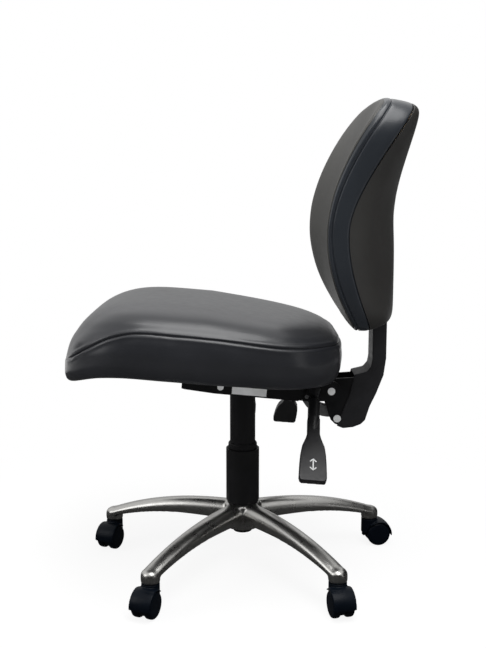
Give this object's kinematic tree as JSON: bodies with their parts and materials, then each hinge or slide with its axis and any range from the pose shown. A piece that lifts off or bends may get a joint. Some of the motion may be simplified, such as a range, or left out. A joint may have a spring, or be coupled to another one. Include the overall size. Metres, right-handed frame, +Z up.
{
  "type": "office task chair",
  "caption": "Task chair with a domed vinyl seat, a winged back with a rear shell on a J-shaped bar, a gas column, paddle levers and an arched metal star base on twin-wheel castors.",
  "frame": {"origin": "on the floor below the column's swivel axis", "axes": "+Z up, +Y towards the back, -Y the way a sitter faces, +X the sitter's left"},
  "size_m": [0.6245, 0.6622, 0.931],
  "materials": {
    "vinyl": "satin",
    "black_plastic": "matte",
    "lever_plastic": "satin",
    "castor_black": "satin",
    "black_steel": "satin",
    "polished_aluminium": "polished",
    "zinc": "zinc plated",
    "chrome_rod": "polished",
    "white_plastic": "satin",
    "plywood": "raw"
  },
  "bodies": {
    "base": {"base_star": "polished_aluminium", "gas_outer_tube": "black_steel", "guide_bush": "white_plastic", "thrust_bearing": "zinc", "cover_lower": "black_plastic"},
    "rod": {"piston_rod": "chrome_rod", "retaining_clip": "zinc"},
    "mechanism": {"gas_cylinder": "black_steel", "mechanism_housing": "black_steel", "cover_upper": "black_plastic", "pivot_pins": "zinc", "back_pivot_caps": "white_plastic", "lock_bolts": "zinc"},
    "middle_cover": {"cover_middle": "black_plastic"},
    "valve": {"valve_button": "white_plastic"},
    "seat": {"seat_plate": "black_steel", "seat_pivot_caps": "white_plastic", "seat_lock_plates": "zinc", "seat_bolts": "zinc", "seat_board": "plywood", "armrest_inserts": "zinc", "seat_underside_cover": "black_plastic", "seat_cushion": "vinyl"},
    "back_arm": {"back_bracket": "black_steel", "back_lock_plates": "zinc", "back_lock_pin": "white_plastic", "j_bar": "black_steel", "j_bar_bolts": "zinc", "j_bar_cover": "black_plastic"},
    "back": {"back_ratchet": "black_plastic", "back_screws": "zinc", "back_board": "plywood", "back_shell": "black_plastic", "back_cushion": "vinyl"},
    "height_lever": {"height_lever_rod": "zinc", "height_lever_paddle": "lever_plastic"},
    "back_lever": {"back_lever_rod": "zinc", "back_lever_paddle": "lever_plastic"},
    "seat_lever": {"seat_lever_rod": "zinc", "seat_lever_paddle": "lever_plastic"},
    "castor_1": {"castor_1_hood": "castor_black", "castor_1_stem_and_axle": "zinc"},
    "castor_1_left": {"castor_1_wheel_left": "castor_black"},
    "castor_1_right": {"castor_1_wheel_right": "castor_black"},
    "castor_2": {"castor_2_hood": "castor_black", "castor_2_stem_and_axle": "zinc"},
    "castor_2_left": {"castor_2_wheel_left": "castor_black"},
    "castor_2_right": {"castor_2_wheel_right": "castor_black"},
    "castor_3": {"castor_3_hood": "castor_black", "castor_3_stem_and_axle": "zinc"},
    "castor_3_left": {"castor_3_wheel_left": "castor_black"},
    "castor_3_right": {"castor_3_wheel_right": "castor_black"},
    "castor_4": {"castor_4_hood": "castor_black", "castor_4_stem_and_axle": "zinc"},
    "castor_4_left": {"castor_4_wheel_left": "castor_black"},
    "castor_4_right": {"castor_4_wheel_right": "castor_black"},
    "castor_5": {"castor_5_hood": "castor_black", "castor_5_stem_and_axle": "zinc"},
    "castor_5_left": {"castor_5_wheel_left": "castor_black"},
    "castor_5_right": {"castor_5_wheel_right": "castor_black"}
  },
  "joints": [
    {"name": "base_swivel", "type": "hinge", "parent": "base", "child": "rod", "pos_m": [0, 0, 0.12], "axis": [0, 0, 1], "continuous": true},
    {"name": "gas_lift", "type": "slide", "parent": "rod", "child": "mechanism", "axis": [0, 0, 1], "range_m": [-0.065, 0.035]},
    {"name": "cover_slide", "type": "slide", "parent": "base", "child": "middle_cover", "axis": [0, 0, 1], "range_m": [-0.0079, 0.0043]},
    {"name": "valve_press", "type": "slide", "parent": "mechanism", "child": "valve", "axis": [0, 0, 1], "range_m": [-0.0041, 0]},
    {"name": "seat_tilt", "type": "hinge", "parent": "mechanism", "child": "seat", "pos_m": [0, -0.04343, 0.38186], "axis": [1, 0, 0], "range_deg": [0, 8]},
    {"name": "back_recline", "type": "hinge", "parent": "mechanism", "child": "back_arm", "pos_m": [0, 0.17493, 0.37079], "axis": [-1, 0, 0], "range_deg": [-6, 16]},
    {"name": "back_height", "type": "slide", "parent": "back_arm", "child": "back", "axis": [0, 0, 1], "range_m": [0, 0.06]},
    {"name": "height_lever_turn", "type": "hinge", "parent": "mechanism", "child": "height_lever", "pos_m": [-0.0455, 0.01738, 0.38859], "axis": [0, 0.9962, -0.0872], "range_deg": [0, 5], "stiffness_Nm_per_rad": 2, "springref_deg": -14.32},
    {"name": "back_lever_turn", "type": "hinge", "parent": "mechanism", "child": "back_lever", "pos_m": [-0.0455, 0.11003, 0.38048], "axis": [0, 0.9962, -0.0872], "range_deg": [0, 10], "stiffness_Nm_per_rad": 2, "springref_deg": -14.32},
    {"name": "seat_lever_turn", "type": "hinge", "parent": "mechanism", "child": "seat_lever", "pos_m": [0.0455, 0.13992, 0.37787], "axis": [0, -0.9962, 0.0872], "range_deg": [0, 10], "stiffness_Nm_per_rad": 2, "springref_deg": -14.32},
    {"name": "castor_1_swivel", "type": "hinge", "parent": "base", "child": "castor_1", "pos_m": [0.23668, -0.16758, 0.0595], "axis": [0, 0, 1], "continuous": true},
    {"name": "castor_1_left_roll", "type": "hinge", "parent": "castor_1", "child": "castor_1_left", "pos_m": [0.25291, -0.17413, 0.025], "axis": [0.3746, 0.9272, 0], "continuous": true},
    {"name": "castor_1_right_roll", "type": "hinge", "parent": "castor_1", "child": "castor_1_right", "pos_m": [0.25291, -0.17413, 0.025], "axis": [0.3746, 0.9272, 0], "continuous": true},
    {"name": "castor_2_swivel", "type": "hinge", "parent": "base", "child": "castor_2", "pos_m": [0.23251, 0.17331, 0.0595], "axis": [0, 0, 1], "continuous": true},
    {"name": "castor_2_left_roll", "type": "hinge", "parent": "castor_2", "child": "castor_2_left", "pos_m": [0.24957, 0.17725, 0.025], "axis": [-0.225, 0.9744, 0], "continuous": true},
    {"name": "castor_2_right_roll", "type": "hinge", "parent": "castor_2", "child": "castor_2_right", "pos_m": [0.24957, 0.17725, 0.025], "axis": [-0.225, 0.9744, 0], "continuous": true},
    {"name": "castor_3_swivel", "type": "hinge", "parent": "base", "child": "castor_3", "pos_m": [-0.09298, 0.27469, 0.0595], "axis": [0, 0, 1], "continuous": true},
    {"name": "castor_3_left_roll", "type": "hinge", "parent": "castor_3", "child": "castor_3_left", "pos_m": [-0.09602, 0.29193, 0.025], "axis": [-0.9848, -0.1736, 0], "continuous": true},
    {"name": "castor_3_right_roll", "type": "hinge", "parent": "castor_3", "child": "castor_3_right", "pos_m": [-0.09602, 0.29193, 0.025], "axis": [-0.9848, -0.1736, 0], "continuous": true},
    {"name": "castor_4_swivel", "type": "hinge", "parent": "base", "child": "castor_4", "pos_m": [-0.28998, -0.00354, 0.0595], "axis": [0, 0, 1], "continuous": true},
    {"name": "castor_4_left_roll", "type": "hinge", "parent": "castor_4", "child": "castor_4_left", "pos_m": [-0.30748, -0.00354, 0.025], "axis": [0, -1, 0], "continuous": true},
    {"name": "castor_4_right_roll", "type": "hinge", "parent": "castor_4", "child": "castor_4_right", "pos_m": [-0.30748, -0.00354, 0.025], "axis": [0, -1, 0], "continuous": true},
    {"name": "castor_5_swivel", "type": "hinge", "parent": "base", "child": "castor_5", "pos_m": [-0.08624, -0.27688, 0.0595], "axis": [0, 0, 1], "continuous": true},
    {"name": "castor_5_left_roll", "type": "hinge", "parent": "castor_5", "child": "castor_5_left", "pos_m": [-0.07025, -0.284, 0.025], "axis": [0.4067, 0.9135, 0], "continuous": true},
    {"name": "castor_5_right_roll", "type": "hinge", "parent": "castor_5", "child": "castor_5_right", "pos_m": [-0.07025, -0.284, 0.025], "axis": [0.4067, 0.9135, 0], "continuous": true}
  ],
  "couplings": [
    {"joint": "cover_slide", "follows": "gas_lift", "ratio": 0.12},
    {"joint": "valve_press", "follows": "height_lever_turn", "m_per_rad": -0.0455}
  ]
}
